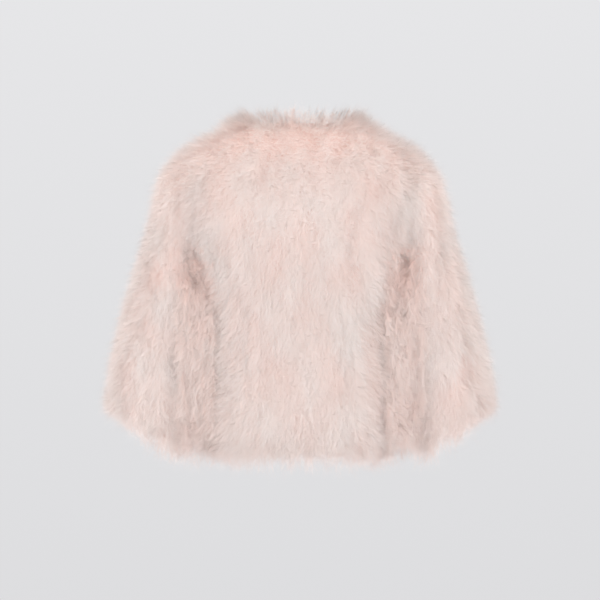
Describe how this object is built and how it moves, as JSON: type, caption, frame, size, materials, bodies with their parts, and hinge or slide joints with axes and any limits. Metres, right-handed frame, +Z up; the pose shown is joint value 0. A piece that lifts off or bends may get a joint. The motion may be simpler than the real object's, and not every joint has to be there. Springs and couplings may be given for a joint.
{
  "type": "feather jacket",
  "caption": "Collarless pale pink feather jacket, hollow as worn, with an open front, flared three-quarter sleeves and a fluffy plume surface that hangs past hem and cuffs.",
  "frame": {"origin": "middle of the neck, level with the inner ends of the shoulder seams, where the wearer's shoulders carry the jacket", "axes": "+Z up, -Y the way the wearer faces, +X to the wearer's left"},
  "size_m": [0.6648, 0.3085, 0.594],
  "materials": {
    "plume_pink": "soft matt plumes, sewn on pale pink cloth"
  },
  "bodies": {
    "root": {"back": "plume_pink", "front_left": "plume_pink", "front_right": "plume_pink", "sleeve_left": "plume_pink", "sleeve_right": "plume_pink"}
  },
  "joints": []
}
